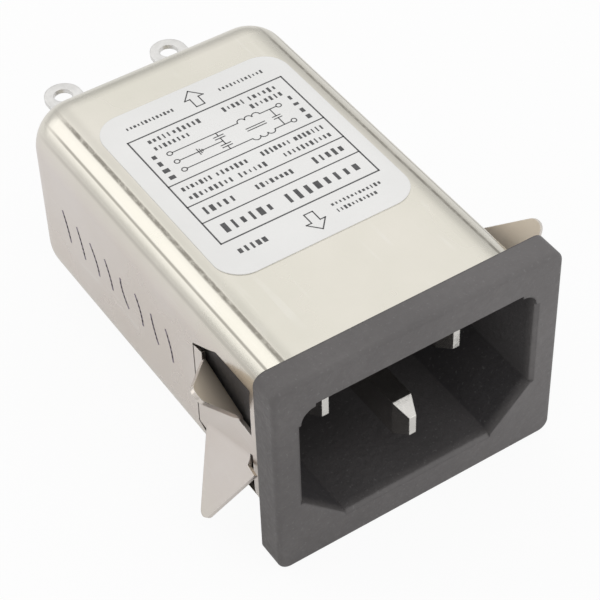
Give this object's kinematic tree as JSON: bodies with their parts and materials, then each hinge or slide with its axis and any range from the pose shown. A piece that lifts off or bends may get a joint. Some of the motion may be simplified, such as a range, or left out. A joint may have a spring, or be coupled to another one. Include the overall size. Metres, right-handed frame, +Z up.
{
  "type": "emi line filter",
  "caption": "Snap-in mains power inlet with a built-in interference filter: rectangular flange and pin socket on a drawn metal can with spring tabs and ring solder lugs.",
  "frame": {"origin": "centre of the inlet on the flange's back face, where the panel seats", "axes": "+X to the right seen from the front, +Y back through the panel towards the solder lugs, +Z up, with the earth pin below the line and neutral pins"},
  "size_m": [0.0364, 0.0541, 0.023],
  "materials": {
    "housing_plastic": "fine matt moulded",
    "nickel_pin": "bright nickel plate",
    "can_nickel": "satin nickel plate on drawn steel",
    "label_film": "silver film with grey print",
    "tinned_lug": "tin plate",
    "bushing_resin": "dark resin",
    "rivet_steel": "nickel plate",
    "sleeve_paper": "insulating paper",
    "ferrite": "coated ferrite",
    "holder_plastic": "natural nylon",
    "copper_wire": "enamelled copper",
    "film_box": "yellow box",
    "disc_coat": "dipped coating",
    "wire_green": "soft insulation"
  },
  "bodies": {
    "root": {"inlet_housing": "housing_plastic", "line_pin": "nickel_pin", "neutral_pin": "nickel_pin", "earth_pin": "nickel_pin", "case": "can_nickel", "rating_label": "label_film", "line_lug": "tinned_lug", "neutral_lug": "tinned_lug", "earth_lug": "tinned_lug", "line_bushing": "bushing_resin", "neutral_bushing": "bushing_resin", "earth_rivet": "rivet_steel", "insulating_sleeve": "sleeve_paper", "choke_core": "ferrite", "choke_holder": "holder_plastic", "line_winding": "copper_wire", "neutral_winding": "copper_wire", "film_capacitor": "film_box", "line_disc_capacitor": "disc_coat", "neutral_disc_capacitor": "disc_coat", "earth_wire": "wire_green"}
  },
  "joints": []
}
